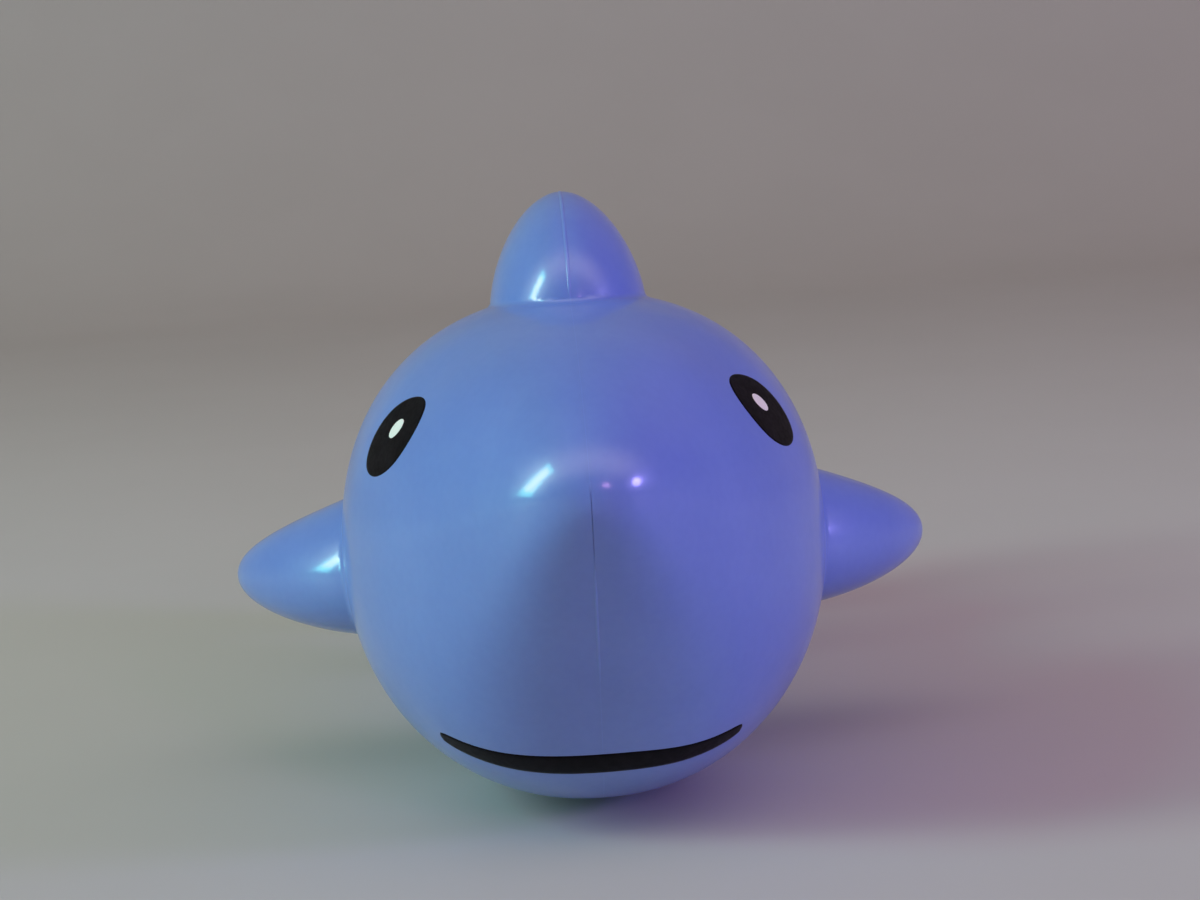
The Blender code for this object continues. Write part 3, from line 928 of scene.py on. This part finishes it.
crest = CREST_0 + PITCH * CRESTS
flange = TAIL_FACE + 2.0 + 0.3 - crest
profile = (rounded(CROWN) + [(1.6, 18.84), (2.4, 18.8), (3.2, 18.8), (4.2, 18.8), (flange - 0.2, 18.86),
                             (flange, 19.2), (flange, 21.8), (flange + 0.2, 22.0), (flange + 1.8, 22.0),
                             (flange + 2.0, 21.8), (flange + 2.0, 18.2), (4.0, 18.2), (3.0, 18.2),
                             (2.0, 18.2), (1.0, 18.2)] + rounded(CROWN_INSIDE))
obj = revolve(at(profile, crest), "tube_skin_%02d" % CRESTS, TUBE)
mark_folds(obj, [(crest, 20.6)], 0.8)
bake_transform(obj)
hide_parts("tube_crest_%02d" % CRESTS, "tube_rear_cuff")


# --------------------------------------------------------------------- stage
def stage_material(name, dark, light, scale, rough):
    mat, tree, sh = nodes_of(name)
    co = object_coord(tree)
    paint = ramp(tree, noise(tree, co, scale, 4.0), [(0.35, dark), (0.65, light)])
    parts = tree.nodes.new("ShaderNodeSeparateXYZ")
    link(tree, co, parts.inputs["Vector"])
    back = span(tree, parts.outputs["Y"], 0.0, 1.0, 0.05, 0.60)      # a shade darker far behind
    link(tree, mix(tree, back, paint, mix(tree, 1.0, paint, (0.72, 0.70, 0.70), 'MULTIPLY')),
         sh.inputs["Base Color"])
    sh.inputs["Roughness"].default_value = rough
    link(tree, bump(tree, noise(tree, co, 900.0, 2.0), 0.05, 0.0001), sh.inputs["Normal"])
    return mat


def sweep(name, mat):
    """A floor that turns up into a backdrop far behind the toy."""
    floor_y, turn = 0.95, 0.35
    line = [(-2.2, 0.0), (-1.2, 0.0), (-0.5, 0.0), (0.2, 0.0), (floor_y - turn, 0.0)]
    for k in range(1, 13):
        a = math.pi / 2 * k / 12
        line.append((floor_y - turn + turn * math.sin(a), turn - turn * math.cos(a)))
    line.append((floor_y, 1.6))
    xs = np.linspace(-2.2, 2.2, 9)
    verts = [(x, y, z - 0.00004) for y, z in line for x in xs]
    n = len(xs)
    faces = [(i * n + j, i * n + j + 1, (i + 1) * n + j + 1, (i + 1) * n + j)
             for i in range(len(line) - 1) for j in range(n - 1)]
    mesh = bpy.data.meshes.new(name)
    mesh.from_pydata(verts, [], faces)
    mesh.update()
    mesh.shade_smooth()
    obj = bpy.data.objects.new(name, mesh)
    scene.collection.objects.link(obj)
    material_of(obj, mat)
    return obj


SKY_LOW = (0.10, 0.045, 0.04)        # the room
SKY_EDGE = (0.24, 0.20, 0.19)       # the room close to the horizon
SKY_BAND = (1.64, 1.37, 1.37)       # a soft band overhead, from left to right
BAND_TILT = math.radians(66.0)

sweep("floor", stage_material("floor_paint", (0.520, 0.500, 0.455), (0.530, 0.510, 0.465), 14.0, 0.55))

world = bpy.data.worlds.new("studio")
scene.world = world
world.use_nodes = True
tree = world.node_tree
background = tree.nodes["Background"]
off = tree.nodes.new("ShaderNodeVectorMath")          # how far a direction lies off the band
off.operation = 'DOT_PRODUCT'
link(tree, tree.nodes.new("ShaderNodeTexCoord").outputs["Generated"], off.inputs[0])
off.inputs[1].default_value = (0.0, math.sin(BAND_TILT), math.cos(BAND_TILT))
size = tree.nodes.new("ShaderNodeMath")
size.operation = 'ABSOLUTE'
link(tree, off.outputs["Value"], size.inputs[0])
rise = tree.nodes.new("ShaderNodeSeparateXYZ")
link(tree, off.inputs[0].links[0].from_socket, rise.inputs["Vector"])
both = tree.nodes.new("ShaderNodeMath")
both.operation = 'MULTIPLY'
link(tree, span(tree, size.outputs[0], 0.0, 1.0, 0.44, 0.0), both.inputs[0])
link(tree, span(tree, rise.outputs["Z"], 0.0, 1.0, 0.25, 0.75), both.inputs[1])
room = mix(tree, span(tree, rise.outputs["Z"], 1.0, 0.0, 0.0, 0.26), SKY_LOW, SKY_EDGE)
sky = mix(tree, both.outputs[0], room, SKY_BAND)
link(tree, sky, background.inputs["Color"])
background.inputs["Strength"].default_value = 1.0

CENTRE = Vector((0.0, Y_SHIFT * MM, (AXIS_Z - TABLE) * MM))


def lamp(name, place, width, height, power, colour, lean=0.0, shape='RECTANGLE'):
    data = bpy.data.lights.new(name, 'AREA')
    data.shape = shape
    data.size, data.size_y = width, height
    data.energy = power
    data.color = colour
    obj = bpy.data.objects.new(name, data)
    obj.location = place
    facing = (CENTRE - Vector(place)).to_track_quat('-Z', 'Y').to_matrix()
    obj.rotation_euler = (facing @ Matrix.Rotation(math.radians(lean), 3, 'Z')).to_euler()
    scene.collection.objects.link(obj)
    return obj


def beside(azimuth, elevation, far):
    a, e = math.radians(azimuth), math.radians(elevation)
    return CENTRE + Vector((math.sin(a) * math.cos(e), -math.cos(a) * math.cos(e), math.sin(e))) * far


lamp("window_left", beside(-78, 25, 1.2), 0.22, 0.95, 8.8, (0.18, 1.0, 0.92), -17.0)
lamp("window_core", beside(-78, 25, 1.19), 0.14, 0.70, 3.5, (1.0, 0.30, 0.30), -17.0)
lamp("lamp_right", beside(72, 16.5, 1.0), 0.21, 0.21, 3.8, (0.31, 0.24, 1.0), 0.0, 'DISK')
lamp("lamp_right_core", beside(72, 16.5, 0.99), 0.15, 0.15, 0.42, (1.0, 0.95, 0.5), 0.0, 'DISK')
lamp("lamp_pink", beside(25, 25, 1.0), 0.19, 0.19, 0.85, (0.84, 0.42, 1.0), 0.0, 'DISK')

# -------------------------------------------------------------------- camera
AZIMUTH, ELEVATION, ROLL = math.radians(-1.3), math.radians(12.0), math.radians(3.7)
DISTANCE, FOCAL, PLACE = 0.300, 2322.0, (585.5, 551.0)      # pixels of a 1200 x 900 picture
away = Vector((math.sin(AZIMUTH) * math.cos(ELEVATION), -math.cos(AZIMUTH) * math.cos(ELEVATION),
               math.sin(ELEVATION)))
camera = bpy.data.objects.new("camera", bpy.data.cameras.new("camera"))
scene.collection.objects.link(camera)
camera.data.sensor_width = 36.0
camera.data.lens = 36.0 * FOCAL / 1200.0
camera.data.clip_start, camera.data.clip_end = 0.01, 20.0
camera.location = CENTRE + away * DISTANCE
turn = (-away).to_track_quat('-Z', 'Y').to_matrix() @ Matrix.Rotation(-ROLL, 3, 'Z')
seen = Vector((PLACE[0] - 600.0, 450.0 - PLACE[1], -FOCAL)).normalized()
aim = Vector((0.0, 0.0, -1.0)).rotation_difference(seen).to_matrix()
camera.rotation_euler = (turn @ aim.inverted()).to_euler()
scene.camera = camera
scene.view_settings.view_transform = 'Standard'
